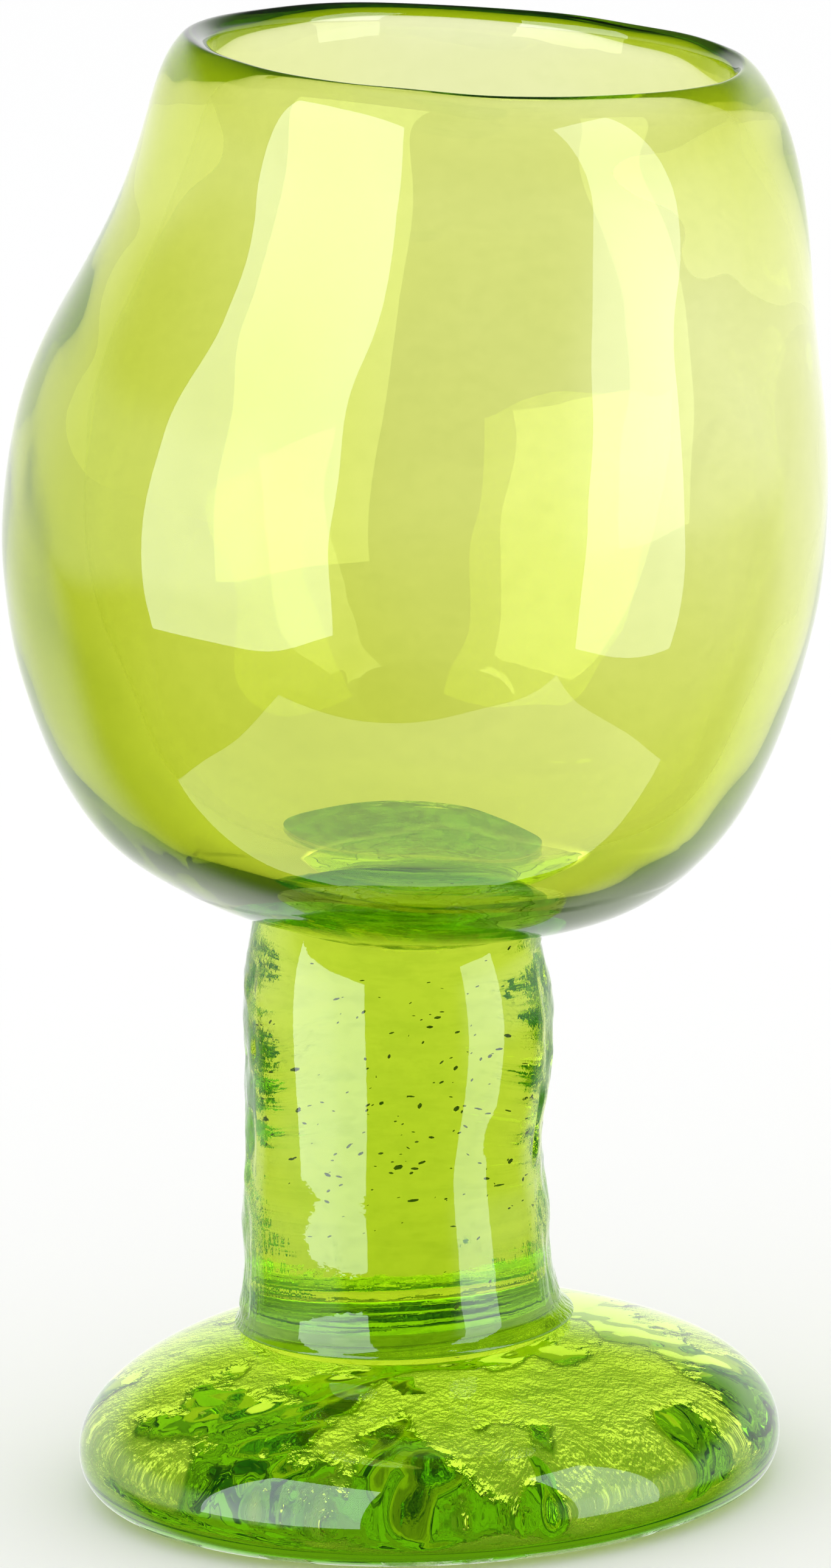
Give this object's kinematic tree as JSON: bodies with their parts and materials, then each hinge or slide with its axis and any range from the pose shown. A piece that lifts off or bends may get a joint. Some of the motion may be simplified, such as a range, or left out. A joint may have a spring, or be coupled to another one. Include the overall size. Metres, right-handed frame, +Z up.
{
  "type": "wine glass",
  "caption": "Hand-made goblet in lime-green glass: a lopsided blown bowl with a tilted rounded rim, a thick wavy solid stem and a heavy domed foot.",
  "frame": {"origin": "centre of the foot's flat resting face", "axes": "+Z up out of the mouth, +X towards the low side of the rim, +Y towards the back as it is seen from the front"},
  "size_m": [0.1009, 0.1008, 0.1817],
  "materials": {
    "clear_lime_glass": "clear, smooth and glossy, fire polished rim",
    "chilled_lime_glass": "glossy with a fine chilled ripple, a few seeds and dark specks inside",
    "cast_lime_glass": "glossy domed top over a rough cast underside"
  },
  "bodies": {
    "root": {"bowl": "clear_lime_glass", "stem": "chilled_lime_glass", "foot": "cast_lime_glass"}
  },
  "joints": []
}
